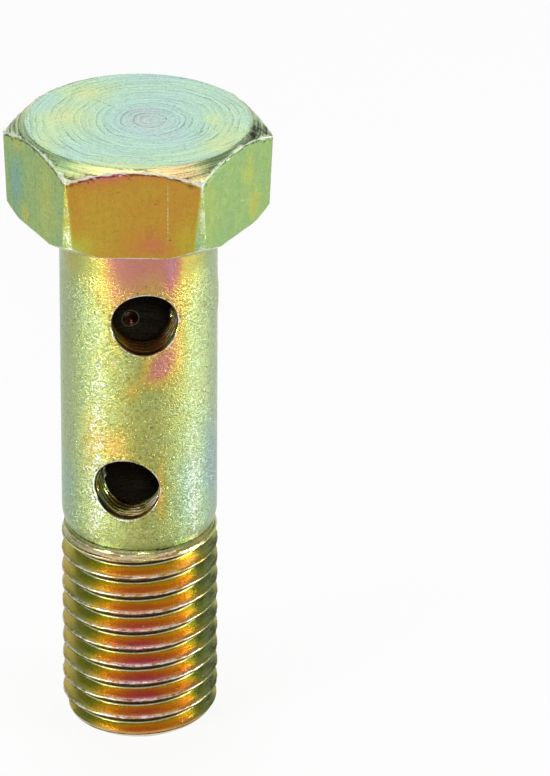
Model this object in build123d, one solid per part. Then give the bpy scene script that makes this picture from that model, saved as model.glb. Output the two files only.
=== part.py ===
"""Double banjo bolt, M12 x 1.5, with a 17 mm hexagon head and two cross ports.

Millimetres. +Z runs up the bolt from its threaded end to its head, and the
origin is the middle of the flat threaded end. Two flats of the hexagon face
+Y and -Y. The turn of a port is counted from -Y towards +X.
"""
import os
from math import cos, hypot, radians, tan

from build123d import *

# Head
across_flats = 17.0
head_height = 7.0
corner_wear_top = 0.03       # taken off each corner's radius at its upper end
corner_wear_foot = 0.24      # and at its lower end
crown_inset = 1.585          # worn corner's radius less that of the top flat
crown_slope = 35.0           # top chamfer, degrees below horizontal
seat_inset = 0.775           # worn corner's radius less that of the seat
seat_slope = 40.0            # lower chamfer, degrees above horizontal

# Shank
seat_height = 41.6           # threaded end to the seat under the head
shank_diameter = 11.6
seat_corner = 0.3            # 45 degree corner between shank and seat
neck_height = 16.05          # threaded end to the ring groove above the thread
neck_depth = 0.35            # of that groove, below the shank
neck_roll = 1.3              # length over which the shank rolls into it

# Thread, single start, right hand
thread_major = 11.75
thread_pitch = 1.5
thread_depth = 0.6134 * thread_pitch
crest_width = thread_pitch / 8
root_width = thread_pitch / 6
neck_flank = 0.5             # axial length of the slope from neck to thread
runout_length = 1.2          # axial length over which the groove runs out
lead_circle = 10.6           # diameter of the flat threaded end
lead_length = 1.0            # axial length of the chamfer around it

# Oil passages
flow_bore = 6.0              # diameter
flow_bore_depth = 38.6       # threaded end to the end of the full diameter
drill_point = 118.0          # included angle of the bore's blind end, degrees
mouth_break = 0.4            # chamfer at the bore's mouth
port_diameter = 4.8
port_break = 0.12            # edge break where a port leaves the shank
upper_port_drop = 6.77       # seat down to the port's axis
upper_port_turn = 7.0
lower_port_drop = 20.37
lower_port_turn = -7.8

# Dependent sizes
crown_height = seat_height + head_height
shank_radius = shank_diameter / 2
neck_radius = shank_radius - neck_depth
thread_radius = thread_major / 2
thread_root = thread_radius - thread_depth
bore_radius = flow_bore / 2
cutter_overrun = thread_pitch    # how far a cutting solid passes the metal


def turned(outline):
    """Solid of revolution about Z of closed outline edges drawn in XZ."""
    return revolve(make_face(Plane.XZ * outline), Axis.Z)


def hexagon_head():
    """Hexagon bar, turned to a chamfer at each end and worn at its corners."""
    bar = Pos(0, 0, seat_height) * extrude(
        RegularPolygon(across_flats / 2, 6, major_radius=False), head_height)
    corner = across_flats / 2 / cos(radians(30))
    top = corner - corner_wear_top
    foot = corner - corner_wear_foot
    crown_drop = crown_inset * tan(radians(crown_slope))
    seat_rise = seat_inset * tan(radians(seat_slope))
    return bar & turned(Polyline(
        (0, seat_height),
        (foot - seat_inset, seat_height),
        (foot, seat_height + seat_rise),
        (top, crown_height - crown_drop),
        (top - crown_inset, crown_height),
        (0, crown_height),
        close=True))


def shank_blank():
    """Plain shank, ring groove and threaded stretch before it is threaded."""
    roll_start = (shank_radius, neck_height + neck_roll)
    neck = (neck_radius, neck_height)
    wall = Polyline((0, seat_height), (shank_radius, seat_height), roll_start)
    roll = TangentArc(roll_start, neck, tangent=(0, -1))
    end = Polyline(
        neck,
        (thread_radius, neck_height - neck_flank),
        (thread_radius, lead_length),
        (lead_circle / 2, 0),
        (0, 0),
        (0, seat_height))
    return turned(wall + roll + end)


def thread_groove():
    """Helical V groove of the thread, running out just below the neck."""
    length = neck_height + cutter_overrun
    path = Pos(0, 0, -cutter_overrun) * Helix(
        thread_pitch, length, thread_radius)
    mouth = (thread_pitch - crest_width) / 2
    root = root_width / 2
    section = make_face(Polyline(
        (-thread_depth, -root), (0, -mouth), (neck_depth, -mouth),
        (neck_depth, mouth), (0, mouth), (-thread_depth, root), close=True))
    start = Plane(origin=path @ 0, x_dir=(1, 0, 0), z_dir=path % 0)
    groove = sweep(start * section, path=path, is_frenet=True)
    fade_start = neck_height - runout_length
    runout = turned(Polyline(
        (0, fade_start), (thread_root, fade_start),
        (thread_radius, neck_height), (thread_radius + 1, neck_height),
        (thread_radius + 1, neck_height + cutter_overrun),
        (0, neck_height + cutter_overrun), close=True))
    return groove - runout


def oil_bore():
    """Blind axial bore, open at the threaded end, with its drill point."""
    point = bore_radius / tan(radians(drill_point / 2))
    return turned(Polyline(
        (0, -mouth_break),
        (bore_radius + 2 * mouth_break, -mouth_break),
        (bore_radius, mouth_break),
        (bore_radius, flow_bore_depth),
        (0, flow_bore_depth + point),
        close=True))


def port(drop, turn):
    """Cross hole from the flow bore out through one wall of the shank."""
    drill = Rotation(90, 0, 0) * Cylinder(
        port_diameter / 2, shank_radius + cutter_overrun,
        align=(Align.CENTER, Align.CENTER, Align.MIN))
    return Pos(0, 0, seat_height - drop) * Rotation(0, 0, turn) * drill


def on_shank(edge):
    """True for an edge that lies wholly on the plain shank's surface."""
    low, high = neck_height + neck_roll, seat_height - seat_corner
    return all(
        abs(hypot(spot.X, spot.Y) - shank_radius) < 0.01
        and low + 0.1 < spot.Z < high - 0.1
        for spot in (edge @ 0.1, edge @ 0.4, edge @ 0.8))


def banjo_bolt():
    blank = hexagon_head() + shank_blank()
    seat_edge = blank.edges().filter_by(GeomType.CIRCLE).filter_by(
        lambda e: abs(e.radius - shank_radius) < 0.01
        and abs(e.center().Z - seat_height) < 0.01)
    blank = chamfer(seat_edge, seat_corner)
    ported = (blank - port(upper_port_drop, upper_port_turn)
              - port(lower_port_drop, lower_port_turn))
    ported = chamfer(ported.edges().filter_by(on_shank), port_break)
    return ported - oil_bore() - thread_groove()


os.makedirs("parts", exist_ok=True)
export_step(banjo_bolt(), "parts/banjo_bolt.step")
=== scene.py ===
from math import acos, atan2, cos, degrees, exp, hypot, pi, radians, sin, sqrt, tan

import bmesh
import bpy
from mathutils import Matrix, Vector, noise


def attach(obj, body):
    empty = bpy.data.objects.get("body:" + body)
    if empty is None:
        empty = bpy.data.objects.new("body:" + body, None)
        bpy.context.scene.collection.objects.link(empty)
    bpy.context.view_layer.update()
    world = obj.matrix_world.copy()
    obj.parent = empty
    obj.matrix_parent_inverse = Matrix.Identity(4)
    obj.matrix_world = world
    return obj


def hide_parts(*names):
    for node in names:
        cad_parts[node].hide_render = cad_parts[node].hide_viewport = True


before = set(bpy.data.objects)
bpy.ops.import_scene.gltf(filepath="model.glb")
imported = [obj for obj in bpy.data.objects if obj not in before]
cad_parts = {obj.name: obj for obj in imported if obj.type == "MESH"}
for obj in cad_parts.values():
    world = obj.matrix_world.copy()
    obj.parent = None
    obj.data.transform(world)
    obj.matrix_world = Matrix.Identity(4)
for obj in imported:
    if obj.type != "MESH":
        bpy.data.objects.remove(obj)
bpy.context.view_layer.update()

# The bolt is shaped in millimetres and scaled to metres when it is finished.
# A turn is counted from the front (-Y) towards the right (+X).
millimetre = 0.001
weldGap = 1e-4  # points nearer than this become one
sharpFrom = 34  # degrees between two faces from which their edge shows as a corner

# numbers that say which skin a face belongs to, in the order of the materials
crownSkin, coneSkin, flatSkin, seatSkin, shankSkin, threadSkin, neckSkin, portSkin, boreSkin = range(9)


def blendMin(a, b, width):  # the smaller one, with the corner between them rounded
    near = max(width - abs(a - b), 0.0) / width
    return min(a, b) - near * near * width / 4


def blendMax(a, b, width):
    return -blendMin(-a, -b, width)


def between(value, low, high):  # 0 at low, 1 at high, smooth at both
    share = min(max((value - low) / (high - low), 0.0), 1.0)
    return share * share * (3 - 2 * share)


def until(value, low, high):  # 1 at low, 0 at high
    return 1 - between(value, low, high)


def turnOf(spot):  # in radians
    return atan2(spot.x, -spot.y)


def degreesOf(spot):
    return degrees(turnOf(spot))


def radiusOf(spot):  # distance from the bolt's axis
    return hypot(spot.x, spot.y)


def moveTo(vert, radius, turn, height):
    vert.co = (radius * sin(turn), -radius * cos(turn), height)


def grain(spot, scale, seed=0.0):  # smooth noise from -1 to 1
    return noise.noise(spot * scale + Vector((seed, 2 * seed, 3 * seed)))


def lobe(gap, reach):  # a soft hump, 1 at its middle
    return exp(-(gap / reach) ** 2)


def turnGap(turn, middle):  # degrees from one turn to another, -180 to 180
    return (turn - middle + 180) % 360 - 180


# sizes of the bolt's parts in millimetres, and angles in degrees
shank = {
    "columns": 144,  # around the outside
    "radius": 5.8,
    "top": 41.3,  # start of the corner under the head
    "rowGap": 13.6 / 39,  # the ports' axes lie on rows
    "rollRows": (0, 0.12, 0.27, 0.42, 0.57, 0.72, 0.86),  # shares of the roll above the neck
    "lip": 0.07,  # low swelling on the right, level with the upper port
    "lipSite": (34.8, 88.0),  # height and turn
}
neck = {
    "height": 16.05,
    "radius": 5.45,
    "roll": 1.3,  # height over which the shank rolls in
    "flank": 0.5,  # height of the slope out to the thread
}
thread = {
    "radius": 5.875,
    "pitch": 1.5,
    "depth": 0.92,
    "crest": 0.1875,  # width of the flat crest
    "root": 0.25,
    "turns": 14,
    "runOut": 1.2,  # height over which the groove fades out
    "leadRadius": 5.3,  # at the end face
    "leadLength": 1.0,
    "rows": (0.07, 0.11, 0.14, 0.18, 0.28, 0.40, 0.52, 0.60, 0.635, 0.66, 0.69),  # from the groove's middle
    "rounding": 0.05,  # of root, crest and ends
    "runOutRounding": 0.08,
    "roughness": 0.034,  # depth of the dents in the crest
}
bore = {
    "columns": 72,
    "radius": 3.0,
    "depth": 38.6,
    "point": 59.0,  # half of the drill point's angle
    "pointRings": (2.0, 1.0, 0.0),
    "mouth": 0.4,
    "rows": (1.2, 2.5, 4.5, 7.0, 9.5, 12.0, 14.5, 16.5),
    "mark": (31.12, -165.7),  # the drill's mark on the wall opposite the upper port, height and turn
    "markRings": ((0.70, 0.0), (0.61, 0.0), (0.58, 0.035), (0.50, 0.06), (0.43, 0.03), (0.36, 0.065),
                  (0.28, 0.04), (0.20, 0.08), (0.10, 0.06), (0.0, 0.14)),  # radius and depth
    "markSegments": 32,
    "markWindow": (4, 3),  # as for the ports below
    "markBridge": (30, 1),
}
ports = {
    "radius": 2.4,
    "segments": 92,
    "sites": ((34.83, 7.0), (21.23, -7.8)),  # height and turn
    "window": (14, 9),  # columns and rows cleared each side of a port
    "outerBridge": (38, 3),  # degrees looked at each side of a port, and rows between port and window
    "boreBridge": (75, 2),
    "rim": ((0.34, 0.0), (0.22, 0.0), (0.15, -0.004), (0.11, 0.004), (0.07, 0.02),
            (0.035, 0.055), (0.012, 0.10), (0.0, 0.16)),  # beyond the radius, and below the skin
    "ragged": 0.018,
    "wallRings": 60,
    "ringGap": 0.46,  # between the drill's marks
    "ringDepth": (0.08, 0.16),
    "burrs": ((-17, 8, 0.22), (186, 13, 0.50)),  # in each wall: turn round the port, reach and height
}
head = {
    "flat": 8.5,  # axis to each flat
    "foot": 41.6,
    "top": 48.6,
    "cornerTop": 9.785,  # corners worn round, more so at the foot
    "cornerFoot": 9.575,
    "crownRadius": 8.2,
    "crownSlope": 35.0,
    "seatRadius": 8.8,
    "seatSlope": 40.0,
    "seatCorner": 0.3,  # from the shank out to the seat
    "seatCircles": (6.5, 7.4),
    "seatInsets": (0.25, 0.04),  # rows beside the seat's edge
    "columns": (0.3, 0.6, 1.0, 1.4, 1.8, 2.2, 2.6, 3.0, 3.6, 4.4,
                *(5.4 + 1.17 * n for n in range(21))),  # from each corner
    "sideRows": (0.012, 0.035, 0.08, 0.16, 0.28, 0.42, 0.56, 0.70, 0.82, 0.90, 0.955, 0.97, 0.98, 0.99),
    "coneRows": (0.02, 0.045, 0.08, 0.14, 0.28, 0.46, 0.64, 0.80, 0.92, 0.98),
    "crownRings": 22,
    "burr": 0.085,  # height of the raised edge between crown cone and flats
    "burrFrom": 46.5,  # lowest height at which it is looked for
    "burrReach": (0.16, 0.3),  # inward and down from the edge
    "nick": (0.13, 0.07, 0.035),  # line below it: drop, reach and depth
}


def spunLine(points, axis, columns, rise=0.0):  # a line of points turned once round an axis
    bm = bmesh.new()
    verts = [bm.verts.new(point) for point in points]
    edges = [bm.edges.new(pair) for pair in zip(verts, verts[1:])]
    bmesh.ops.spin(bm, geom=verts + edges, cent=(0, 0, 0), axis=axis, angle=2 * pi,
                   dvec=(0, 0, rise / columns), steps=columns, use_merge=rise == 0)
    bmesh.ops.remove_doubles(bm, verts=bm.verts[:], dist=weldGap)
    return bm


def skinRows(skin, heights, rise=0.0):
    return spunLine([(0, -skin["radius"], h) for h in heights], (0, 0, 1), skin["columns"], rise)


def join(bm, part):
    mesh = bpy.data.meshes.new("part")
    part.to_mesh(mesh)
    part.free()
    bm.from_mesh(mesh)
    bpy.data.meshes.remove(mesh)


def threadRadius(turn, height):
    pitch = thread["pitch"]
    share = (height / pitch - (degrees(turn) - 90) / 360) % 1.0
    off = min(share, 1 - share) * pitch  # from the middle of the groove
    rootRadius = thread["radius"] - thread["depth"]
    halfRoot = thread["root"] / 2
    mouth = (pitch - thread["crest"]) / 2
    flank = rootRadius + (off - halfRoot) * thread["depth"] / (mouth - halfRoot)
    rounding = thread["rounding"]
    radius = blendMax(rootRadius, flank, rounding)
    fade = rootRadius + thread["depth"] * (height - neck["height"] + thread["runOut"]) / thread["runOut"]
    radius = blendMax(radius, fade, thread["runOutRounding"])
    radius = blendMin(radius, thread["radius"], rounding)
    lead = thread["leadRadius"] + (thread["radius"] - thread["leadRadius"]) * height / thread["leadLength"]
    drop = neck["height"] - height
    neckSide = neck["radius"] + (thread["radius"] - neck["radius"]) * drop / neck["flank"]
    return blendMin(blendMin(radius, lead, rounding), neckSide, rounding)


def shankRadius(turn, height):
    radius = shank["radius"]
    start = neck["height"] + neck["roll"]
    if height < start:  # an arc that leaves the shank without a corner
        drop = radius - neck["radius"]
        arc = (drop * drop + neck["roll"] ** 2) / (2 * drop)
        radius -= arc - sqrt(arc * arc - (start - height) ** 2)
    lipHeight, lipTurn = shank["lipSite"]
    rise = until(abs(height - lipHeight), 0.7, 1.5)
    return radius + shank["lip"] * until(abs(turnGap(degrees(turn), lipTurn)), 3, 14) * rise


def threadSkinMesh():
    # rows climb with the thread, so that crest and root run along edges
    pitch = thread["pitch"]
    rows = [0.0, *thread["rows"], pitch / 2]
    period = sorted({round(v, 6) for row in rows for v in (row % pitch, -row % pitch)})
    first = -pitch * 2.25  # the groove's middle meets the front line a quarter pitch off
    heights = [first + turnCount * pitch + v for turnCount in range(thread["turns"]) for v in period]
    column = 2 * pi / shank["columns"]
    bm = skinRows(shank, heights, pitch)
    for level, above in ((0.0, False), (neck["height"], True)):
        bmesh.ops.bisect_plane(bm, geom=bm.verts[:] + bm.edges[:] + bm.faces[:], dist=1e-5,
                               plane_co=(0, 0, level), plane_no=(0, 0, 1),
                               clear_outer=above, clear_inner=not above)
        for vert in bm.verts:  # rows that end between two columns close up to the nearer one
            if abs(vert.co.z - level) < weldGap:
                moveTo(vert, shank["radius"], round(turnOf(vert.co) / column) * column, level)
        bmesh.ops.remove_doubles(bm, verts=bm.verts[:], dist=weldGap)
    return bm


def portRows(low, high):  # heights between two others, in step with the ports
    start, gap = ports["sites"][1][0], shank["rowGap"]
    return [start + gap * n for n in range(-60, 80) if low < start + gap * n < high]


def shankSkinMesh():
    rollTop = neck["height"] + neck["roll"]
    heights = [neck["height"] + neck["roll"] * share for share in shank["rollRows"]]
    heights += portRows(rollTop, shank["top"] - 0.1) + [shank["top"]]
    return skinRows(shank, heights)


def boreSkinMesh():
    heights = [bore["mouth"], *bore["rows"]]
    heights += portRows(heights[-1] + 0.5, bore["depth"] - 0.3) + [bore["depth"]]
    return skinRows(bore, heights)


def openWindow(bm, site, size, skin):  # clears the faces of a skin round a site
    height, turn = site
    column = 360 / skin["columns"]
    middle = round(turn / column) * column
    cleared = []
    for face in bm.faces:
        spot = face.calc_center_median()
        if (abs(radiusOf(spot) - skin["radius"]) < 0.05
                and abs(turnGap(degreesOf(spot), middle)) < size[0] * column
                and abs(spot.z - height) < size[1] * shank["rowGap"]):
            cleared.append(face)
    bmesh.ops.delete(bm, geom=cleared, context="FACES")


def portSleeve(number):
    # a spun line of radius and share of the wall, then bent between shank and bore
    height, turn = ports["sites"][number]
    ringDepth = ports["ringDepth"][number]
    burrTurn, burrReach, burrRise = ports["burrs"][number]
    wall = shank["radius"] - bore["radius"]
    rings = [(ports["radius"] + beyond, below / wall) for beyond, below in ports["rim"]]
    start = rings[-1][1]
    for n in range(1, ports["wallRings"] + 1):
        rings.append((ports["radius"], start + (1 - start) * n / ports["wallRings"]))
    bm = spunLine([(radius, share, 0) for radius, share in rings], (0, 1, 0), ports["segments"])
    turned = Matrix.Rotation(radians(turn), 4, "Z")
    for vert in bm.verts:
        x, share, z = vert.co
        radius = hypot(x, z)
        around = atan2(z, x)
        if share < 0.035:  # uneven rim
            swell = lobe(radius - ports["radius"] - 0.06, 0.07)
            radius += ports["ragged"] * swell * grain(Vector((x, z, height)), 3.5)
        else:  # drill marks, a shallow spiral that fades at both ends, and a burr near the bore
            step = (share * wall / ports["ringGap"] + around / (2 * pi)) % 1.0
            wave = between(step, 0.0, 0.35) * until(step, 0.35, 1.0)  # steep towards the outside
            wave *= between(share, 0.05, 0.15) * until(share, 0.85, 1.0)
            radius -= ringDepth * wave * (0.7 + 0.5 * grain(Vector((x, z, share * 3)), 0.9, height))
            lump = lobe(turnGap(degrees(around), burrTurn), burrReach) * between(share, 0.72, 0.93)
            radius -= burrRise * lump * (0.75 + 0.7 * grain(Vector((x, z, share * 4)), 2.4))
        x, z = radius * cos(around), radius * sin(around)
        outerY = sqrt(shank["radius"] ** 2 - x * x)
        innerY = sqrt(max(bore["radius"] ** 2 - x * x, 0.0))
        vert.co = turned @ Vector((x, -outerY * (1 - share) - innerY * share, z + height))
    return bm


def drillMark():
    height, turn = bore["mark"]
    bm = spunLine([(radius, depth, 0) for radius, depth in bore["markRings"]], (0, 1, 0),
                  bore["markSegments"])
    for vert in bm.verts:
        side, depth, up = vert.co
        moveTo(vert, bore["radius"] + depth, radians(turn) + side / bore["radius"], height + up)
    return bm


def vertsIn(geom):
    return [g for g in geom if isinstance(g, bmesh.types.BMVert)]


def settle(bm):  # puts a mesh in order of place, so that each run joins it alike
    way = Vector((0.2718, 0.5772, 1.0))
    bm.verts.sort(key=lambda v: v.co.dot(way))
    bm.edges.sort(key=lambda e: (e.verts[0].co + e.verts[1].co).dot(way))
    bm.faces.sort(key=lambda f: f.calc_center_median().dot(way))


def bridgeRim(bm, site, radius, reach, cuts):
    # joins the two open loops round a port, its own rim and the window cleared for it
    height, turn = site
    settle(bm)

    def near(vert):
        return (abs(radiusOf(vert.co) - radius) < 0.02 and abs(vert.co.z - height) < 3.3
                and abs(turnGap(degreesOf(vert.co), turn)) < reach)

    rims = [e for e in bm.edges if e.is_boundary and near(e.verts[0]) and near(e.verts[1])]
    made = bmesh.ops.bridge_loops(bm, edges=rims)
    split = bmesh.ops.subdivide_edges(bm, edges=made["edges"], cuts=cuts, use_grid_fill=True)
    for vert in vertsIn(split["geom_inner"]):
        moveTo(vert, radius, turnOf(vert.co), vert.co.z)


def rimAt(bm, height, radius):  # the open loop at a height and near a radius
    return [e for e in bm.edges if e.is_boundary and all(
        abs(v.co.z - height) < 0.01 and abs(radiusOf(v.co) - radius) < 1.0 for v in e.verts)]


def nextRing(bm, edges, radiusAt, heightAt):  # a row of faces out to a new ring, whose edges it gives
    grown = bmesh.ops.extrude_edge_only(bm, edges=edges)["geom"]
    for vert in vertsIn(grown):
        turn = turnOf(vert.co)
        moveTo(vert, radiusAt(turn), turn, heightAt(turn))
    return [g for g in grown if isinstance(g, bmesh.types.BMEdge) and g.is_boundary]


def same(value):  # one value at every turn
    return lambda turn: value


def closeBore(bm):
    nextRing(bm, rimAt(bm, bore["mouth"], bore["radius"]), same(bore["radius"] + bore["mouth"]), same(0.0))
    settle(bm)
    bmesh.ops.bridge_loops(bm, edges=rimAt(bm, 0.0, bore["radius"]) + rimAt(bm, 0.0, thread["leadRadius"]))
    ring = rimAt(bm, bore["depth"], bore["radius"])
    for radius in bore["pointRings"]:
        rise = (bore["radius"] - radius) / tan(radians(bore["point"]))
        ring = nextRing(bm, ring, same(radius), same(bore["depth"] + rise))
    tip = [v for v in bm.verts if radiusOf(v.co) < 1e-6]
    bmesh.ops.remove_doubles(bm, verts=tip, dist=1e-3)


def sideRadius(turn, limit):  # hexagon with its corners turned down to a limit
    swing = (degrees(turn) + 30) % 60 - 30
    return blendMin(head["flat"] / cos(radians(swing)), limit, 0.03)


def crownEdge(turn):
    radius = sideRadius(turn, head["cornerTop"])
    return radius, head["top"] - (radius - head["crownRadius"]) * tan(radians(head["crownSlope"]))


def seatEdge(turn):
    radius = sideRadius(turn, head["cornerFoot"])
    rise = max(radius - head["seatRadius"], 0.0) * tan(radians(head["seatSlope"]))
    return radius, head["foot"] + blendMax(rise, 0.05, 0.05)


def cornerLimit(share):  # radius to which a corner is worn, at a share of the side's height
    return head["cornerFoot"] + (head["cornerTop"] - head["cornerFoot"]) * share


def makeHead(bm):
    foot, top, crown = head["foot"], head["top"], head["crownRadius"]
    nextRing(bm, rimAt(bm, shank["top"], shank["radius"]),
             same(shank["radius"] + head["seatCorner"]), same(foot))
    # a circle with its columns gathered at the hexagon's corners
    swings = [0.0, 30.0, *head["columns"], *(-v for v in head["columns"])]
    turns = sorted((30 + 60 * n + v + 180) % 360 - 180 for n in range(6) for v in swings)
    circle = bmesh.ops.create_circle(bm, cap_ends=False, segments=len(turns), radius=1)["verts"]
    first, second = head["seatCircles"]
    for vert, turn in zip(sorted(circle, key=lambda v: turnOf(v.co)), turns):
        moveTo(vert, first, radians(turn), foot)
    settle(bm)
    ring = [e for e in bm.edges if e.is_wire]
    bmesh.ops.bridge_loops(bm, edges=rimAt(bm, foot, shank["radius"]) + ring)
    ring = nextRing(bm, rimAt(bm, foot, first), same(second), same(foot))

    def seatRing(inset):
        return lambda turn: min(sideRadius(turn, head["cornerFoot"]), head["seatRadius"]) - inset

    for inset in head["seatInsets"]:
        ring = nextRing(bm, ring, seatRing(inset), same(foot))
    ring = nextRing(bm, ring, lambda t: seatRing(0.0)(t) * 0.5 + seatEdge(t)[0] * 0.5 - 0.012,
                    lambda t: foot * 0.5 + seatEdge(t)[1] * 0.5)
    ring = nextRing(bm, ring, lambda t: seatEdge(t)[0], lambda t: seatEdge(t)[1])
    for share in head["sideRows"]:
        ring = nextRing(bm, ring, lambda t: sideRadius(t, cornerLimit(share)),
                        lambda t: seatEdge(t)[1] * (1 - share) + crownEdge(t)[1] * share)
    ring = nextRing(bm, ring, lambda t: crownEdge(t)[0], lambda t: crownEdge(t)[1])
    for share in head["coneRows"]:
        ring = nextRing(bm, ring, lambda t: crownEdge(t)[0] * (1 - share) + crown * share,
                        lambda t: crownEdge(t)[1] * (1 - share) + top * share)
    ring = nextRing(bm, ring, same(crown), same(top))
    for n in range(1, head["crownRings"] + 1):
        ring = nextRing(bm, ring, same(crown * (1 - n / head["crownRings"])), same(top))
    middle = [v for v in bm.verts if radiusOf(v.co) < 1e-6 and v.co.z > foot]
    bmesh.ops.remove_doubles(bm, verts=middle, dist=1e-3)


def burrLumps(spot):  # how much burr there is at a point of the crown's edge, most at the corners
    swing = abs(turnGap(degreesOf(spot), 0)) % 60
    lumps = 0.38 + 1.1 * grain(spot, 1.5, 3.0) + 0.7 * grain(spot, 4.4, 8.0) + 0.8 * lobe(swing - 30, 3.5)
    return min(max(lumps, 0.05), 1.3)


def raiseBurr(bm):  # uneven raised lip along the crown's edge, with a nicked line below it
    farInward, farDown = head["burrReach"]
    nickDrop, nickReach, nickDepth = head["nick"]
    for vert in bm.verts:
        turn, radius = turnOf(vert.co), radiusOf(vert.co)
        if vert.co.z < head["burrFrom"] or radius < head["crownRadius"] + 0.02:
            continue
        edgeRadius, edgeHeight = crownEdge(turn)
        inward, drop = edgeRadius - radius, edgeHeight - vert.co.z
        if inward > farInward or drop > farDown:
            continue
        lumps = burrLumps(vert.co)
        if inward > 1e-3:
            vert.co.z += head["burr"] * lumps * lobe(inward, 0.04 + 0.06 * lumps)
        elif drop < 0.02:
            vert.co.z += head["burr"] * lumps
        else:
            dent = nickDepth * lobe(drop - nickDrop, nickReach) * (0.6 + 0.8 * grain(vert.co, 3.7, 5.0))
            moveTo(vert, radius - max(dent, 0.0), turn, vert.co.z + head["burr"] * lumps * lobe(drop, 0.06))


def shapeSkins(bm):  # thread, neck and lip pressed into the plain outer skin, with dented crests
    for vert in bm.verts:
        turn, height = turnOf(vert.co), vert.co.z
        if radiusOf(vert.co) < shank["radius"] - 1e-3 or height > shank["top"] + 1e-3:
            continue
        if height > neck["height"] + 1e-3:
            moveTo(vert, shankRadius(turn, height), turn, height)
            continue
        moveTo(vert, threadRadius(turn, height), turn, height)
        radius = radiusOf(vert.co)
        rough = between(radius, thread["radius"] - 0.12, thread["radius"] - 0.02)
        if height > 0.02 and rough > 0:
            uneven = 1 + grain(vert.co, 3.1) + 0.8 * grain(vert.co, 7.0, 4.0)
            lift = 0.02 * rough * grain(vert.co, 4.4, 9.0)
            moveTo(vert, radius - max(thread["roughness"] * rough * uneven, 0.0), turn, vert.co.z + lift)


def skinOf(face):
    spot, normal = face.calc_center_median(), face.normal
    radius = radiusOf(spot)
    if spot.z > head["foot"] + 0.02:
        if normal.z > 0.97:
            return crownSkin
        if normal.z > 0.3:
            return coneSkin
        return flatSkin if normal.z > -0.3 else seatSkin
    if radius > shank["radius"] + 0.1 and spot.z > shank["top"] - 0.1:
        return seatSkin
    if spot.z < neck["height"] and radius > bore["radius"] + 0.1:
        slope = spot.z > neck["height"] - neck["flank"] and normal.z > 0.4
        unthreaded = spot.z > neck["height"] - 0.8 * thread["runOut"] and radius > thread["radius"] - 0.16
        return neckSkin if slope or unthreaded else threadSkin
    if radius > shank["radius"] - 0.03 or spot.z < neck["height"] + neck["roll"] and radius > 5:
        return shankSkin
    return boreSkin if radius < bore["radius"] + 0.003 or spot.z < neck["height"] else portSkin


# The plating's coloured film, from 0 to 1 along the colours of its skin. Each spot adds to it
# round a place: turn and height with their reaches (x and y on the crown), and the amount.
film = {
    "crown": (0.36, (
        (-5.2, 0.2, 2.2, 2.4, 0.13), (-3.8, 4.6, 1.9, 1.6, 0.13), (-7, 2.8, 1.1, 1.3, -0.1),
        (-3.6, -5.2, 2.6, 1.3, -0.07), (0.6, 0.6, 2.8, 3.8, -0.25), (3, -2.6, 2.2, 1.8, -0.13),
        (6.2, -3.2, 1.7, 2.2, 0.14), (5.4, 0.4, 0.7, 0.9, 0.15), (0.9, 7.5, 2.2, 0.6, -0.2),
        (-1, -7.8, 6, 0.45, 0.14), (-6.4, -4.3, 1, 1.8, 0.1), (4, 5, 2.4, 1.4, -0.05))),
    "cone": (0.4, (
        (2, 48, 30, 9, 0.2), (22, 48, 11, 9, 0.12), (-38, 48, 10, 9, -0.03), (150, 48, 32, 9, 0.25),
        (-125, 48, 26, 9, 0.2))),
    "flats": (0, (
        (-4, 48.25, 20, 0.5, 0.12), (-14, 48, 11, 0.5, 0.16), (8.5, 42.7, 9, 0.8, 0.14),
        (-26, 42.3, 6, 0.9, -0.13), (25, 43, 5, 1.6, -0.05), (-12, 43.6, 9, 1.2, -0.02),
        (-78, 44.2, 7, 2.2, -0.17), (-70, 42.6, 4, 0.7, 0.16), (-77, 47.6, 5, 0.6, 0.1),
        (-45, 45, 6, 3, 0.06), (-52, 44, 6, 4, 0.03), (74, 43.1, 3.5, 1.1, 0.13),
        (71, 46.2, 4.5, 1.3, 0.09), (36, 44.5, 4, 3, 0.04), (126, 46, 12, 2.5, 0.1),
        (180, 43, 20, 2, -0.14), (172, 47, 18, 1.5, 0.14), (-124, 44, 9, 2, 0.12))),
    "shank": (0.38, (
        (0, 28, 46, 40, 0.08), (-10, 40.8, 18, 4, 0.36), (20, 40.8, 19, 4, 0.34), (27, 39, 5, 1.8, 0.24),
        (-44, 40.2, 14, 3, 0.05), (50, 40, 9, 3, 0.06), (-58, 39.2, 8, 1.6, 0.06), (-15, 34.8, 4, 2, 0.12),
        (29, 33.4, 10, 3.4, 0.18), (17, 31.4, 8, 1.1, 0.33), (24, 32.2, 6, 1, 0.1), (8, 30.4, 7, 0.8, 0.12),
        (-4, 29.6, 5, 0.9, 0.1), (-36, 25, 9, 2.4, 0.09), (-14, 24.6, 12, 1.5, 0.15),
        (18, 21.2, 4, 2.2, 0.16), (72, 21.5, 20, 4, -0.2), (-66, 19.5, 16, 2.5, -0.09),
        (38, 20.5, 9, 3, -0.1), (150, 36, 36, 5.5, 0.42), (-140, 27, 32, 6.5, 0.34),
        (165, 22, 26, 4.5, -0.16), (112, 29, 16, 6, 0.16), (-108, 39, 20, 3.5, 0.25))),
    "thread": (0.54, (
        (2, 4.9, 25, 4.2, 0.2), (2, 9.5, 26, 5, 0.1), (0, 14, 24, 4, 0.05), (-50, 8, 15, 22, -0.13),
        (-84, 8, 18, 22, -0.05), (62, 8, 14, 22, -0.11), (82, 8, 18, 22, -0.17), (43, 8, 12, 24, 0.06),
        (150, 8, 40, 12, 0.2), (-128, 10, 26, 5, 0.14))),
}
flatFilm = (0.65, 0.42, 0.60, 0.46, 0.66, 0.43)  # on each flat, from the front one towards the right
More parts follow.
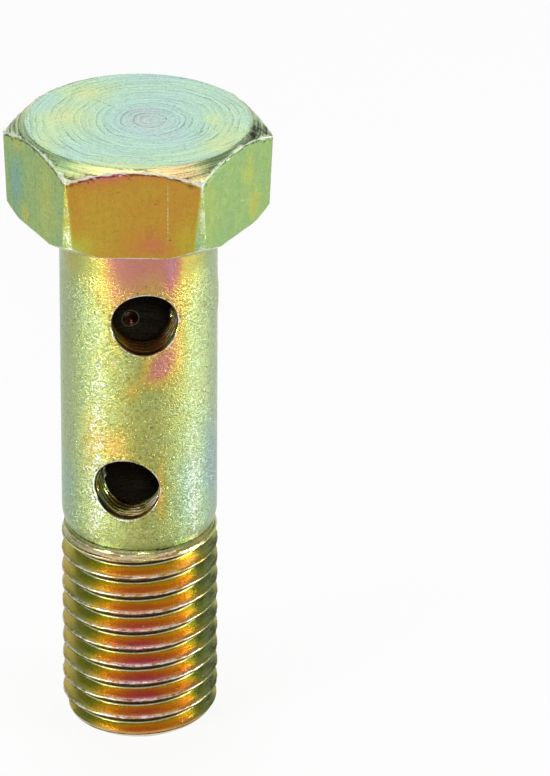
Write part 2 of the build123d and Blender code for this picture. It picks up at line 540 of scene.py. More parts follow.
# places where the shank is rubbed, with the wide bare bands near -30 and 45 to 50 degrees being painted
# highlights: turn and height with their reaches, bareness and dirt
rubsAndHighlights = (
    (-15.5, 31.75, 2.6, 0.32, 0.38, 0.1), (-20, 32.4, 2.2, 0.3, 0.24, 0.14),
    (-11.5, 31, 2, 0.22, 0.22, 0.2), (-27, 30.2, 4, 0.9, 0.14, 0), (-29, 25, 7, 7.5, 0.22, 0),
    (46, 24, 9, 9, 0.2, 0), (50, 20, 13, 3, 0.16, 0), (24, 33, 2, 0.3, 0.1, 0.24),
    (-32, 19.8, 12, 3.5, 0.14, 0), (6, 17.9, 5, 0.25, 0.22, 0.05), (-52, 30.5, 1.5, 0.2, 0, 0.3),
    (47, 28.6, 1.4, 0.25, 0, 0.26), (86, 37.6, 3, 1.2, 0.2, 0.14), (150, 30, 4, 0.5, 0.3, 0.1),
    (-130, 22, 3, 0.6, 0.26, 0.12),
)
wear = {
    "burr": 0.20,  # widest bright line along the crown's edge
    "seatHighlight": 0.09,  # widest painted highlight line along the foot of the flats
    "corner": 0.33,  # bareness of the worn corners
    "cornerFilm": 0.53,
    "cone": 0.30,  # painted shade on the cone beside the corners, away from the front, in its turning marks
    "crest": 0.30,  # depth from the thread's crest that is rubbed
    "crestBare": 0.62,
    "runOutFilm": 0.50,
    "runOutBare": 0.46,
    "rootFilm": 0.34,
}


def filmAt(name, across, up):
    value, spots = film[name]
    reach = 1.0 if name == "crown" else 9.0
    across += 0.4 * reach * grain(Vector((across / reach, up, 3.0)), 0.8)
    up += 0.3 * grain(Vector((across / reach, up, 8.0)), 0.8)
    for middle, height, reachAcross, reachUp, amount in spots:
        gap = across - middle if name == "crown" else turnGap(across, middle)
        value += amount * lobe(gap, reachAcross) * lobe(up - height, reachUp)
    return value


def sideways(spot, turn):  # distance to the right of a turn
    return spot.x * cos(radians(turn)) + spot.y * sin(radians(turn))


def portGap(spot):  # distance from the edge of the nearest port, measured on the skin
    gap = 99.0
    for height, turn in ports["sites"]:
        if abs(turnGap(degreesOf(spot), turn)) < 70:
            gap = min(gap, hypot(sideways(spot, turn), spot.z - height))
    return gap - ports["radius"]


# each of these gives film, bareness with painted highlights, and dirt with painted shade at a point of its
# skin
def crownFinish(spot):
    rim = radiusOf(spot)
    return filmAt("crown", spot.x, spot.y), 0.30 * between(rim, 7.95, 8.12), 0.35 * between(rim, 8.12, 8.2)


def coneFinish(spot):
    turn, radius = degreesOf(spot), radiusOf(spot)
    lumps, inward = burrLumps(spot), crownEdge(turnOf(spot))[0] - radius
    edge = until(inward, 0.02 + 0.04 * lumps, 0.05 + wear["burr"] * lumps * lumps)
    # painted shade on the cone beside the corners, most on the right, and in a line inside the burr
    corner = wear["cone"] * between(abs(turnGap(turn, 0)), 30, 40) * between(radius, 8.3, 8.6)
    corner += (0.40 + 0.45 * grain(spot, 2.2, 5.0)) * lobe(turnGap(turn, 76), 22)
    circle = 0.35 * until(radius, 8.2, 8.28)
    dirtAndShade = max(circle, 0.5 * lobe(inward - 0.10 - 0.22 * lumps, 0.07), corner)
    return filmAt("cone", turn, spot.z), edge, dirtAndShade * (1 - edge)


def flatFinish(spot):
    turn, height = degreesOf(spot), spot.z
    drop = crownEdge(turnOf(spot))[1] - height
    rise = height - seatEdge(turnOf(spot))[1]
    # the band where a corner is worn round
    band = degrees(acos(min(head["flat"] / cornerLimit(rise / max(drop + rise, 0.1)), 1.0)))
    swing = abs(turnGap(turn, 30 + 60 * round((turn - 30) / 60))) + 0.35 * grain(spot, 1.6, 2.0)
    edge = until(swing, 29.8 - band, 30.9 - band)
    lumps = burrLumps(spot)
    crownLine = until(drop, 0.07 * lumps - 0.02, 0.04 + 0.11 * lumps * lumps)
    # a painted highlight along the foot of the flats
    seatHighlight = (0.75 + 0.6 * grain(spot, 1.9, 6.0)) * until(rise, 0.02, wear["seatHighlight"])
    bareAndHighlight = max(edge * wear["corner"] * (1 + 0.7 * grain(spot, 1.6, 3.0)), crownLine, seatHighlight)
    side = round(turn / 60) % 6
    # painted shade in a line under the burr, and the left front flat darker
    dirtAndShade = max((0.95 - 0.3 * lumps) * lobe(drop - 0.08 - 0.17 * lumps, 0.06), 0.26 if side == 5 else 0.12)
    colour = flatFilm[side] + filmAt("flats", turn, height)
    worn = wear["cornerFilm"] - 0.001 * turn - 0.08 * until(height, 42.6, 44.8)
    return colour + (worn - colour) * edge, bareAndHighlight, dirtAndShade


def seatFinish(spot):
    return 0.5, 0.35, 0.15


def shankFinish(spot):
    gap, turn, height = portGap(spot), degreesOf(spot), spot.z
    bareAndHighlight = (0.46 + 0.8 * grain(spot, 1.3, 4.0)) * until(gap, 0.08, 0.20)
    # painted highlight bands where the side lamps catch the shank, fading under the head
    highlightBands = (0.12 * lobe(turn + 32, 15) + 0.07 * lobe(turn - 44, 14)) * until(height, 36.6, 39.0)
    bareAndHighlight += highlightBands * max(1 + 2.2 * grain(spot, 2.3, 2.0), 0.0)
    # painted shade in the crease at the neck
    neckCreaseShade = until(height, neck["height"] + 0.03, neck["height"] + 0.14)
    # painted shadow of the head over the top of the shank, stronger towards the sides
    top = (0.14 + 0.14 * between(abs(turn + 2), 36, 46)) * between(height, 37.0, 39.5)
    right = 0.16 * lobe(turn - 62, 13) * between(height, 29.0, 34.0)
    dirtAndShade = max(neckCreaseShade, 0.35 * lobe(gap - 0.22, 0.07), top, right)
    # rubbed places, and wide painted highlight bands
    for middle, level, reachTurn, reachHeight, rubAndHighlight, dirty in rubsAndHighlights:
        amount = lobe(turnGap(turn, middle), reachTurn) * lobe(height - level, reachHeight)
        bareAndHighlight, dirtAndShade = bareAndHighlight + rubAndHighlight * amount, dirtAndShade + dirty * amount
    return filmAt("shank", turn, height), bareAndHighlight, dirtAndShade


def threadFinish(spot):
    turn, radius, height = degreesOf(spot), radiusOf(spot), spot.z
    pitch, slopeFoot = thread["pitch"], neck["height"] - neck["flank"]
    above = (height - pitch * (turn - 90) / 360 + pitch / 2) % pitch - pitch / 2  # from the groove's middle
    share = (radius - thread["radius"] + thread["depth"]) / thread["depth"]  # 0 at the root, 1 at the crest
    # painted shade in the root under a crest and on that crest's lower edge, with a painted highlight line
    # in the root
    paintedShade = between(above, -0.10, -0.03) * until(above, 0.13, 0.17)
    paintedShade = max(paintedShade, between(above, 0.60, 0.63) * until(above, 0.71, 0.78))
    if height > slopeFoot - 0.03:
        paintedShade = 0.0
    rootHighlight = 0.85 * lobe(above + 0.12, 0.035) * until(share, 0.04, 0.12)
    # the crest and the end's edge are rubbed
    crest = wear["crestBare"] * between(radius, thread["radius"] - wear["crest"], thread["radius"] - 0.03)
    # the crests darker towards the right
    worn = crest * (0.78 + 0.6 * grain(spot, 3.0, 6.0)) * (1 - 0.45 * between(turn, 45, 64))
    worn = max(worn, (0.75 + 0.5 * grain(spot, 1.6, 5.0)) * between(-height, -0.42, -0.24))
    colour, root = filmAt("thread", turn, height), wear["rootFilm"]
    colour = root + (colour - root) * (0.65 * between(share, 0.0, 0.14) + 0.35 * between(share, 0.10, 0.60))
    faded = between(height, slopeFoot - 0.5, slopeFoot - 0.3)  # the run-out below the neck
    colour, worn = colour + (wear["runOutFilm"] - colour) * faded, max(worn, wear["runOutBare"] * faded)
    # darker towards the right, with painted shade over the bright band near 46 degrees
    darkerRight = 0.56 * lobe(turn - 79, 15) + 0.22 * lobe(turn - 46, 9)
    return colour, (worn + rootHighlight) * (1 - paintedShade), max(0.95 * paintedShade, 0.32 * crest, darkerRight)


def neckFinish(spot):  # the slope from the neck down to the thread
    rise = spot.z - neck["height"] + neck["flank"]
    away = between(abs(degreesOf(spot)), 20, 60)  # from the front
    colour = 0.60 + 0.2 * grain(spot, 0.5) - 0.25 * max(between(rise, 0.30, 0.36), away)
    bareAndHighlight = max(0.45 * lobe(rise - 0.38, 0.05), 0.3 * lobe(rise, 0.08)) * (1 - 0.7 * away)
    # painted shade in the crease at the top of the slope, dark lines lower down, and darker towards the
    # sides
    dirtAndShade = max(0.8 * between(rise, 0.44, 0.49), 0.6 * lobe(rise - 0.28, 0.04), 0.9 * lobe(rise + 0.21, 0.05))
    return colour, bareAndHighlight, max(dirtAndShade, 0.25 * away)


def portFinish(spot):
    gap, radius = portGap(spot), radiusOf(spot)
    height, turn = min(ports["sites"], key=lambda site: abs(site[0] - spot.z))
    side = sideways(spot, turn) / ports["radius"]  # -1 left, 1 right
    up = (spot.z - height) / ports["radius"]
    upper = 1.0 if height > 30 else 0.0  # for the upper port only
    foot, left = between(-up, 0.60, 0.88), between(-side, 0.40, 0.85)
    rim = (0.38 + 0.8 * grain(spot, 1.3, 4.0)) * (0.9 + 0.3 * side) * between(gap, 0.0, 0.05)
    rim = max(rim, 0.45 * between(-gap, 0.05, 0.13), 0.8 * between(-gap, 0.28, 0.42))
    # glints on the drill's marks, low in the wall
    step = ((shank["radius"] - radius) / ports["ringGap"] + atan2(up, side) / (2 * pi)) % 1.0
    glints = lobe(step - 0.32, 0.10) * between(side, -0.50, -0.20) * between(radius, 3.5, 3.9)
    glints *= between(-up, 0.15 - 0.3 * upper, 0.45 - 0.3 * upper) * (1 - 0.6 * upper * foot)
    glints *= max(0.65 + 1.4 * grain(spot, 1.7, 9.0), 0.0)
    # painted shade in a line inside the rim, weaker on the right
    line = 0.95 * between(radius, 5.40, 5.47) * until(radius, 5.62, 5.70)
    line *= 1 - 0.5 * between(side, 0.2, 0.8)
    # painted shade deeper in the port and at its foot
    dirtAndShade = 0.15 + 0.35 * between(-radius, -4.4, -3.2) + 0.20 * lobe(gap, 0.03) + (0.10 + 0.04 * upper) * foot
    colour = 0.58 + 0.16 * grain(spot, 0.8) - 0.24 * left * (1 - 0.6 * upper) + 0.13 * upper * foot
    return colour, max(rim, glints), max(line, dirtAndShade * (1 - min(glints, 1.0)))


def boreFinish(spot):  # painted shade darkens the bore, and the rings in the drill's mark are bare metal with painted highlights
    height, turn = bore["mark"]
    across = radians(turnGap(degreesOf(spot), turn)) * bore["radius"]
    gap = hypot(across, spot.z - height) if radiusOf(spot) > 2.9 else 9.0
    bareAndHighlight = max(lobe(gap - 0.60, 0.08), lobe(gap - 0.3, 0.07), lobe(gap, 0.14))
    return 0.5 + 0.2 * grain(spot, 0.3), bareAndHighlight, (0.68 - 0.45 * between(-gap, -0.60, -0.50)) * (1 - bareAndHighlight)


finishes = (crownFinish, coneFinish, flatFinish, seatFinish, shankFinish, threadFinish, neckFinish,
            portFinish, boreFinish)  # in the order of the skins


def paintFinish(bm):  # film, bareness with painted highlights, and dirt with painted shade, kept at the faces' corners
    layers = [bm.loops.layers.float.new(name) for name in ("film", "bareAndHighlight", "dirtAndShade")]
    bm.verts.index_update()
    known = {}
    for face in bm.faces:
        for loop in face.loops:
            key = loop.vert.index, face.material_index
            if key not in known:
                known[key] = finishes[face.material_index](loop.vert.co)
            for layer, value in zip(layers, known[key]):
                loop[layer] = value
    print("finish painted at", len(known), "points")


def newObject(name, data):
    made = bpy.data.objects.new(name, data)
    bpy.context.scene.collection.objects.link(made)
    return made


def makeBolt():
    bm = threadSkinMesh()
    join(bm, shankSkinMesh())
    bmesh.ops.remove_doubles(bm, verts=bm.verts[:], dist=weldGap)
    join(bm, boreSkinMesh())
    for number, site in enumerate(ports["sites"]):
        openWindow(bm, site, ports["window"], shank)
        openWindow(bm, site, ports["window"], bore)
        join(bm, portSleeve(number))
    openWindow(bm, bore["mark"], bore["markWindow"], bore)
    join(bm, drillMark())
    for site in ports["sites"]:
        bridgeRim(bm, site, shank["radius"], *ports["outerBridge"])
        bridgeRim(bm, site, bore["radius"], *ports["boreBridge"])
    bridgeRim(bm, bore["mark"], bore["radius"], *bore["markBridge"])
    closeBore(bm)
    shapeSkins(bm)
    print("shank and ports", len(bm.faces), "faces")
    makeHead(bm)
    raiseBurr(bm)
    settle(bm)
    bmesh.ops.recalc_face_normals(bm, faces=bm.faces[:])
    for face in bm.faces:
        face.smooth = True
        face.material_index = skinOf(face)
    paintFinish(bm)
    for edge in bm.edges:
        edge.smooth = not edge.is_manifold or edge.calc_face_angle() < radians(sharpFrom)
    bmesh.ops.scale(bm, verts=bm.verts[:], vec=(millimetre,) * 3)
    mesh = bpy.data.meshes.new("banjoBolt")
    bm.to_mesh(mesh)
    print("bolt", len(bm.verts), "points", sum(len(f.verts) - 2 for f in bm.faces), "triangles",
          sum(e.is_boundary or not e.is_manifold for e in bm.edges), "open edges")
    bm.free()
    return newObject("banjoBolt", mesh)


bolt = makeBolt()
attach(bolt, "root")
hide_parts("banjo_bolt")


def screen(red, green, blue):  # a colour as seen on a screen, for a node
    return [(c / 12.92 if c < 0.04045 else ((c + 0.055) / 1.055) ** 2.4) for c in (red, green, blue)] + [1.0]


def feed(tree, made, inputs):  # links or plain values for a node's inputs
    for name, value in inputs.items():
        if isinstance(value, bpy.types.NodeSocket):
            tree.links.new(value, made.inputs[name])
        else:
            made.inputs[name].default_value = value


def node(tree, kind, inputs, output=0, **settings):
    made = tree.nodes.new("ShaderNode" + kind)
    for name, value in settings.items():
        setattr(made, name, value)
    feed(tree, made, inputs)
    return made.outputs[output]


def maths(tree, operation, first, second=0.0, third=0.0, clamp=False):
    return node(tree, "Math", {0: first, 1: second, 2: third}, operation=operation, use_clamp=clamp)


def product(tree, first, second):
    return maths(tree, "MULTIPLY", first, second)


def larger(tree, first, second):
    return maths(tree, "MAXIMUM", first, second)


def varied(tree, value, swing, share):  # shifted by a share of something that swings round a half
    return maths(tree, "MULTIPLY_ADD", maths(tree, "SUBTRACT", swing, 0.5), share, value)


def noiseOn(tree, vector, scale, detail=2.0, roughness=0.5, distortion=0.0):
    return node(tree, "TexNoise", {"Vector": vector, "Scale": scale, "Detail": detail,
                                   "Roughness": roughness, "Distortion": distortion})


def stretched(tree, vector, scale, move=(0, 0, 0)):
    return node(tree, "Mapping", {"Vector": vector, "Location": move, "Scale": scale})


def distance(tree, vector):
    return node(tree, "VectorMath", {0: vector}, output=1, operation="LENGTH")


def axesOf(tree, vector):
    return node(tree, "SeparateXYZ", {0: vector}).node.outputs


def steps(tree, value, low, high, start=0.0, end=1.0):  # from start at low to end at high
    return node(tree, "MapRange", {0: value, 1: low, 2: high, 3: start, 4: end},
                interpolation_type="SMOOTHSTEP")


def mixed(tree, share, first, second, blend="MIX"):
    return node(tree, "Mix", {0: share, 6: first, 7: second}, output=2, data_type="RGBA", blend_type=blend)


def flattened(tree, spot, centre):  # measured from an upright line through a centre
    return stretched(tree, spot, (1, 1, 0), (-centre[0], -centre[1], 0))


def ringed(tree, spot, centre, fine, coarse):  # draws noise out into rings round a centre
    moved = flattened(tree, spot, centre)
    axes = axesOf(tree, moved)
    return node(tree, "CombineXYZ", {0: product(tree, distance(tree, moved), fine),
                                     1: product(tree, axes[0], coarse), 2: product(tree, axes[1], coarse)})


def crackled(tree, spot):  # satin skin of small blisters, smoother towards the head
    squat = stretched(tree, spot, (1, 1, 1.3))
    blisters = varied(tree, noiseOn(tree, squat, 4.6, 2.0, 0.6, 0.8), noiseOn(tree, spot, 11.0, 1.0), 0.5)
    left = steps(tree, axesOf(tree, spot)[2], 36.8, 39.0, 1.0, 0.26)
    return maths(tree, "MULTIPLY_ADD", maths(tree, "SUBTRACT", blisters, 0.5), left, 0.5)


def faced(tree, spot):  # broken arcs that the facing tool left
    centre = (0.9, 0.1)
    radius = distance(tree, flattened(tree, spot, centre))
    turns = maths(tree, "MULTIPLY_ADD", noiseOn(tree, spot, 0.5), 1.6, product(tree, radius, 2.1))
    rings = noiseOn(tree, ringed(tree, spot, centre, 3.6, 0.16), 1.0, 3.0, 0.62)
    strength = steps(tree, noiseOn(tree, ringed(tree, spot, centre, 1.3, 0.30), 1.0, 1.0), 0.40, 0.62)

    def line(shift):
        share = maths(tree, "FRACT", maths(tree, "ADD", turns, shift))
        away = maths(tree, "ABSOLUTE", maths(tree, "SUBTRACT", share, 0.5))
        return steps(tree, away, 0.02, 0.17, 1.0, 0.0)

    cut = product(tree, maths(tree, "SUBTRACT", line(0.0), line(0.27)), strength)
    swirl = maths(tree, "MULTIPLY_ADD", cut, 0.20, maths(tree, "MULTIPLY_ADD", rings, 0.55, 0.225))
    return varied(tree, swirl, noiseOn(tree, spot, 6.0, 2.0, 0.65), 0.6)


def coned(tree, spot):  # fine turned rings
    rings = noiseOn(tree, ringed(tree, spot, (0.0, 0.0), 6.5, 0.3), 1.0, 2.0, 0.55)
    return varied(tree, rings, noiseOn(tree, spot, 6.0), 0.3)


def drawn(tree, spot):  # faint upright streaks and a little pitting
    streaks = noiseOn(tree, stretched(tree, spot, (3, 3, 0.5)), 1.0)
    return varied(tree, noiseOn(tree, spot, 5.0, 3.0, 0.65), streaks, 0.4)


def rolled(tree, spot):  # lines round the bolt
    lines = noiseOn(tree, stretched(tree, spot, (0.5, 0.5, 11)), 1.0)
    return varied(tree, lines, noiseOn(tree, spot, 4.5, 3.0, 0.6), 0.6)


def drilled(tree, spot):  # lines round a port
    lines = noiseOn(tree, stretched(tree, spot, (0.6, 9, 0.6)), 1.0)
    return varied(tree, lines, noiseOn(tree, spot, 5.0), 0.5)


def scratched(tree, spot, start, turned, long, wide):  # a broken line along a turned Z
    local = node(tree, "Mapping", {"Vector": spot, "Location": start,
                                   "Rotation": [radians(v) for v in turned]}, vector_type="TEXTURE")
    away = axesOf(tree, node(tree, "VectorMath", {0: local}, operation="ABSOLUTE"))
    line = product(tree, steps(tree, away[0], wide * 0.4, wide, 1.0, 0.0),
                   maths(tree, "LESS_THAN", away[1], 0.4))  # on the skin only
    line = product(tree, line, steps(tree, away[2], long / 2 - 0.4, long / 2, 1.0, 0.0))
    return product(tree, line, steps(tree, noiseOn(tree, spot, 6.5, 1.0), 0.44, 0.60, 0.10, 0.85))


# How each skin looks, in the order of their numbers. Each colour follows its film value. Drift is how
# far broad and small noise shift the film, and hue how far the relief does. A relief has its height in
# millimetres and how far it paints light and shade into the colour. Worn is how much its high spots
# go bare and its hollows catch dirt.
looks = {
    "crown": {
        "colours": ((0, 0.77, 0.73, 0.76), (0.1, 0.73, 0.79, 0.77), (0.2, 0.7, 0.84, 0.8),
                    (0.32, 0.71, 0.86, 0.77), (0.44, 0.77, 0.88, 0.67), (0.56, 0.88, 0.88, 0.62),
                    (0.7, 0.92, 0.8, 0.6)),
        "drift": (0.12, 0.08), "hue": 0.1, "relief": (faced, 0.09, 0.3), "worn": (0.9, 1.3),
        "flecks": 0.04, "rough": (0.18, 0.3),
        "scratches": (((-2.63, 2.95, 48.6), (90, 0, 48), 1.8, 0.07, "dark"),
                      ((4.6, -1.9, 48.6), (90, 0, -20), 1.2, 0.05, "dark")),
    },
    "cone": {
        "colours": ((0, 0.6, 0.58, 0.62), (0.25, 0.5, 0.6, 0.54), (0.4, 0.66, 0.79, 0.57),
                    (0.48, 0.81, 0.87, 0.6), (0.57, 0.96, 0.93, 0.66), (0.66, 0.97, 0.84, 0.6),
                    (0.76, 0.96, 0.74, 0.48)),
        "drift": (0.1, 0.06), "relief": (coned, 0.042, 0.4), "worn": (0.5, 1.6), "rough": (0.14, 0.26),
    },
    "flats": {
        "colours": ((0, 0.62, 0.56, 0.62), (0.12, 0.5, 0.6, 0.68), (0.22, 0.46, 0.64, 0.62),
                    (0.32, 0.5, 0.67, 0.52), (0.42, 0.57, 0.7, 0.42), (0.5, 0.67, 0.73, 0.36),
                    (0.58, 0.72, 0.66, 0.24), (0.66, 0.73, 0.55, 0.22), (0.74, 0.75, 0.5, 0.27),
                    (0.84, 0.77, 0.45, 0.35), (0.94, 0.74, 0.46, 0.56), (1, 0.66, 0.54, 0.66)),
        "drift": (0.08, 0.05), "relief": (drawn, 0.008, 0.08), "worn": (0.3, 0.7), "flecks": 0.12,
        "rough": (0.22, 0.34),
        "scratches": (((2.44, -8.5, 45.2), (0, 0, 0), 5, 0.04, "bright"),
                      ((-1.1, -8.5, 46.9), (0, 65, 0), 0.5, 0.1, "dark")),
    },
    "seat": {
        "colours": ((0, 0.6, 0.62, 0.62), (0.5, 0.7, 0.72, 0.5), (1, 0.74, 0.6, 0.5)),
        "drift": (0.2, 0.1), "relief": (coned, 0.014, 0.14), "worn": (0.5, 0.8), "rough": (0.28, 0.42),
    },
    "shank": {
        "colours": ((0, 0.61, 0.56, 0.6), (0.1, 0.53, 0.58, 0.63), (0.2, 0.5, 0.62, 0.59),
                    (0.32, 0.54, 0.65, 0.5), (0.42, 0.6, 0.66, 0.39), (0.5, 0.66, 0.64, 0.29),
                    (0.58, 0.76, 0.65, 0.29), (0.66, 0.74, 0.56, 0.32), (0.76, 0.74, 0.49, 0.39),
                    (0.86, 0.73, 0.47, 0.44), (0.94, 0.72, 0.5, 0.54), (1, 0.66, 0.55, 0.62)),
        "drift": (0.1, 0.1), "relief": (crackled, 0.08, 0.28), "worn": (1.5, 2.1), "flecks": 0.05,
        "rough": (0.25, 0.36), "coat": 0.5,
    },
    "thread": {
        "colours": ((0, 0.6, 0.5, 0.6), (0.2, 0.48, 0.6, 0.5), (0.34, 0.54, 0.6, 0.36),
                    (0.42, 0.6, 0.61, 0.3), (0.48, 0.71, 0.66, 0.28), (0.54, 0.82, 0.67, 0.27),
                    (0.6, 0.8, 0.58, 0.27), (0.67, 0.78, 0.53, 0.37), (0.75, 0.76, 0.45, 0.44),
                    (0.84, 0.72, 0.42, 0.46), (1, 0.66, 0.46, 0.52)),
        "drift": (0.1, 0.05), "relief": (rolled, 0.01, 0.14), "worn": (0.4, 0.6), "flecks": 0.22,
        "rough": (0.21, 0.34),
    },
    "neck": {
        "colours": ((0.3, 0.72, 0.8, 0.46), (0.5, 0.84, 0.77, 0.53), (0.75, 0.86, 0.68, 0.55)),
        "drift": (0.2, 0.1), "relief": (rolled, 0.02, 0.3), "worn": (0.5, 1.4), "rough": (0.18, 0.3),
    },
    "port": {
        "colours": ((0.3, 0.46, 0.56, 0.3), (0.5, 0.62, 0.6, 0.28), (0.6, 0.76, 0.62, 0.3),
                    (0.75, 0.76, 0.46, 0.28)),
        "drift": (0.2, 0.1), "relief": (drilled, 0.02, 0.25), "worn": (0.6, 1), "rough": (0.08, 0.18),
        "metal": 0.8,
    },
    "bore": {
        "colours": ((0.3, 0.5, 0.49, 0.38), (0.7, 0.56, 0.49, 0.36)),
        "drift": (0.3, 0.1), "relief": (rolled, 0.012, 0.2), "worn": (0.3, 0.5), "rough": (0.35, 0.55),
        "metal": 0.4,
    },
}
zincBareAndHighlight = screen(0.88, 0.88, 0.85)
dirtAndShadeBrown = screen(0.16, 0.14, 0.09)


def filmColour(tree, value, colours):
    ramp = tree.nodes.new("ShaderNodeValToRGB")
    tree.links.new(value, ramp.inputs[0])
    stops = ramp.color_ramp.elements
    while len(stops) < len(colours):
        stops.new(0.5)
    for stop, (position, *colour) in zip(stops, colours):
        stop.position = position
        stop.color = screen(*colour)
    return ramp.outputs[0]


def dotsOn(tree, spot, flecks):  # dark pinholes and bright flecks here and there
    dots = node(tree, "TexVoronoi", {"Vector": spot, "Scale": 1.1}).node.outputs
    kinds = node(tree, "SeparateColor", {0: dots["Color"]}).node.outputs
    small = steps(tree, dots["Distance"], 0.05, 0.09, 1.0, 0.0)
    pinhole = product(tree, small, maths(tree, "GREATER_THAN", kinds[0], 0.72))
    return pinhole, product(tree, small, maths(tree, "GREATER_THAN", kinds[1], 1 - flecks))


def newMaterial(name):
    material = bpy.data.materials.new(name)
    material.use_nodes = True
    return material, material.node_tree, material.node_tree.nodes["Principled BSDF"]


def platedFinish(name, look):
    material, tree, shader = newMaterial(name + "Plating")
    spot = stretched(tree, node(tree, "TexCoord", {}, output=3), (1 / millimetre,) * 3)
    level, bareAndHighlight, dirtAndShade = (node(tree, "Attribute", {}, output=2, attribute_name=kind)
                         for kind in ("film", "bareAndHighlight", "dirtAndShade"))
    broad, small = look["drift"]
    makeRelief, height, contrast = look["relief"]
    rub, catch = look["worn"]

    relief = makeRelief(tree, spot)
    level = varied(tree, level, noiseOn(tree, spot, 0.42), broad)
    level = varied(tree, level, noiseOn(tree, spot, 2.6, 3.0, 0.6), small)
    level = varied(tree, level, relief, look.get("hue", 0.0))
    # painted light and shade from the relief, multiplied into the colour
    shade = steps(tree, relief, 0.28, 0.72, 1 - contrast / 2, 1 + contrast / 2)
    colour = mixed(tree, 1.0, filmColour(tree, level, look["colours"]), shade, "MULTIPLY")

    # high spots rub bare and hollows catch dirt, with ragged edges
    pinhole, fleck = dotsOn(tree, spot, look.get("flecks", 0.1))
    grit = noiseOn(tree, spot, 6.5, 2.0, 0.6)
    bareAndHighlight = varied(tree, varied(tree, bareAndHighlight, grit, 0.9), relief, rub)
    bareAndHighlight = larger(tree, steps(tree, bareAndHighlight, 0.25, 0.65), fleck)
    dirtAndShade = varied(tree, varied(tree, dirtAndShade, grit, 0.5), relief, -catch)
    dirtAndShade = larger(tree, steps(tree, dirtAndShade, 0.10, 0.95), product(tree, pinhole, 0.7))
    for *line, kind in look.get("scratches", ()):
        mark = scratched(tree, spot, *line)
        if kind == "bright":
            bareAndHighlight = larger(tree, bareAndHighlight, mark)
        else:
            dirtAndShade = larger(tree, dirtAndShade, mark)
    colour = mixed(tree, product(tree, bareAndHighlight, 0.85), colour, zincBareAndHighlight)
    colour = mixed(tree, dirtAndShade, colour, dirtAndShadeBrown)

    low, high = look["rough"]
    roughness = maths(tree, "MULTIPLY_ADD", noiseOn(tree, spot, 1.7, 3.0, 0.6),
                      2 * (high - low), 1.5 * low - 0.5 * high)
    roughness = maths(tree, "MULTIPLY_ADD", bareAndHighlight, 0.10, roughness)
    roughness = maths(tree, "MULTIPLY_ADD", dirtAndShade, 0.25, roughness, clamp=True)
    torn = product(tree, bareAndHighlight, maths(tree, "SUBTRACT", grit, 0.5))
    normal = node(tree, "Bump", {"Strength": 1.0, "Distance": height * millimetre,
                                 "Height": maths(tree, "MULTIPLY_ADD", torn, 0.8, relief)})
    feed(tree, shader, {"Base Color": colour, "Roughness": roughness, "Metallic": look.get("metal", 1.0),
                        "Coat Weight": look.get("coat", 0.0), "Coat Roughness": 0.22,
                        "Normal": normal, "Coat Normal": normal})
    return material


for name, look in looks.items():
    bolt.data.materials.append(platedFinish(name, look))
print("finishes", len(looks))


# the floor and lights, in metres and watts
studio = {
    "floorSize": 8.0,
    "floorDrop": 0.02 * millimetre,  # just under the bolt's end
    "floorWhite": 0.88,  # share of plain white in the floor the camera sees, the rest is its lit colour
    "floorMirrored": 0.46,  # and in the floor that the metal mirrors
    "side": 0.34,  # brightness of the room all round
    "glows": (((0, 0.89, 0.46), 0.72, 0.95, 0.68),
              ((-0.12, 0.1, 1), 0.74, 0.94, 0.86)),  # back wall and ceiling: direction, edges, brightness
    "lamps": (("leftFront", (-0.245, -0.190, 0.032), (0, 0, 0.025), (0.09, 0.055), 0.80),
              ("right", (0.30, -0.045, 0.032), (0, 0, 0.025), (0.11, 0.055), 0.76),
              ("front", (0.03, -0.36, 0.25), (0, 0, 0.03), (0.05, 0.05), 0.20)),
}
view = {
    "spot": (15.312, -392.637, 230.700),  # in millimetres
    "right": (0.99983498, 0.01686956, 0.00674095),
    "up": (-0.0137522, 0.46039105, 0.88760969),
    "sensor": 36.0,
    "lens": 277.45,
}


def litWhite(tree, lit):
    # the floor's plain white, for the camera and for what the metal mirrors
    rays = node(tree, "LightPath", {}).node.outputs
    mirrored = larger(tree, rays["Is Glossy Ray"], rays["Is Transmission Ray"])
    white = larger(tree, product(tree, rays["Is Camera Ray"], studio["floorWhite"]),
                   product(tree, mirrored, studio["floorMirrored"]))
    plain = node(tree, "Emission", {"Color": (1, 1, 1, 1), "Strength": 1.0})
    return node(tree, "MixShader", {0: white, 1: lit, 2: plain})


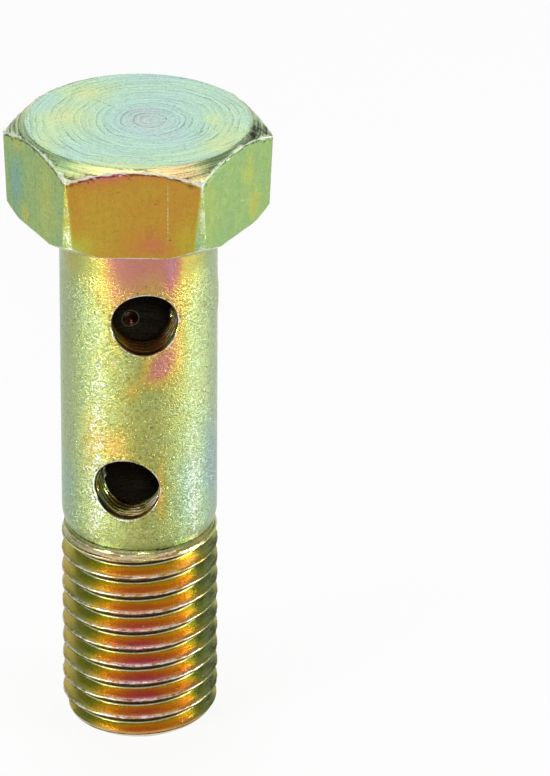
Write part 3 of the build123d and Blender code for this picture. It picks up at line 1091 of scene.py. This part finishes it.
def makeFloor():
    bm = bmesh.new()
    bmesh.ops.create_grid(bm, x_segments=2, y_segments=2, size=studio["floorSize"] / 2)
    mesh = bpy.data.meshes.new("floor")
    bm.to_mesh(mesh)
    bm.free()
    sheet = newObject("floor", mesh)
    sheet.location.z = -studio["floorDrop"]
    material, tree, shader = newMaterial("paleFloor")
    feed(tree, shader, {"Base Color": (0.95, 0.95, 0.95, 1), "Roughness": 0.9})
    feed(tree, tree.nodes["Material Output"], {"Surface": litWhite(tree, shader.outputs[0])})
    sheet.data.materials.append(material)


def softLamp(name, spot, aim, size, watts):
    lamp = bpy.data.lights.new(name, "AREA")
    lamp.shape = "RECTANGLE"
    lamp.size, lamp.size_y = size
    lamp.energy = watts
    holder = newObject(name, lamp)
    holder.location = spot
    holder.rotation_euler = (Vector(aim) - Vector(spot)).to_track_quat("-Z", "Y").to_euler()


def makeCamera():
    lens = bpy.data.cameras.new("camera")
    lens.sensor_width = view["sensor"]
    lens.lens = view["lens"]
    lens.clip_start, lens.clip_end = 0.01, 50.0
    camera = newObject("camera", lens)
    right, up = Vector(view["right"]), Vector(view["up"])
    turned = Matrix((right, up, right.cross(up))).transposed().to_4x4()
    camera.matrix_world = Matrix.Translation(Vector(view["spot"]) * millimetre) @ turned
    bpy.context.scene.camera = camera


def makeSurroundings():  # a pale room with a bright ceiling and back wall
    world = bpy.data.worlds.new("studio")
    bpy.context.scene.world = world
    world.use_nodes = True
    tree = world.node_tree
    ray = node(tree, "TexCoord", {})
    level = studio["side"]
    for direction, low, high, amount in studio["glows"]:
        facing = node(tree, "VectorMath", {0: ray, 1: Vector(direction).normalized()}, output=1,
                      operation="DOT_PRODUCT")
        level = maths(tree, "ADD", steps(tree, facing, low, high, 0.0, amount), level)
    rays = node(tree, "LightPath", {}).node.outputs
    feed(tree, tree.nodes["Background"], {"Color": (1, 1, 1, 1),
                                          "Strength": larger(tree, level, rays["Is Camera Ray"])})


makeCamera()
makeFloor()
for lamp in studio["lamps"]:
    softLamp(*lamp)
makeSurroundings()
print("studio ready")
bpy.context.scene.view_settings.view_transform = "Standard"
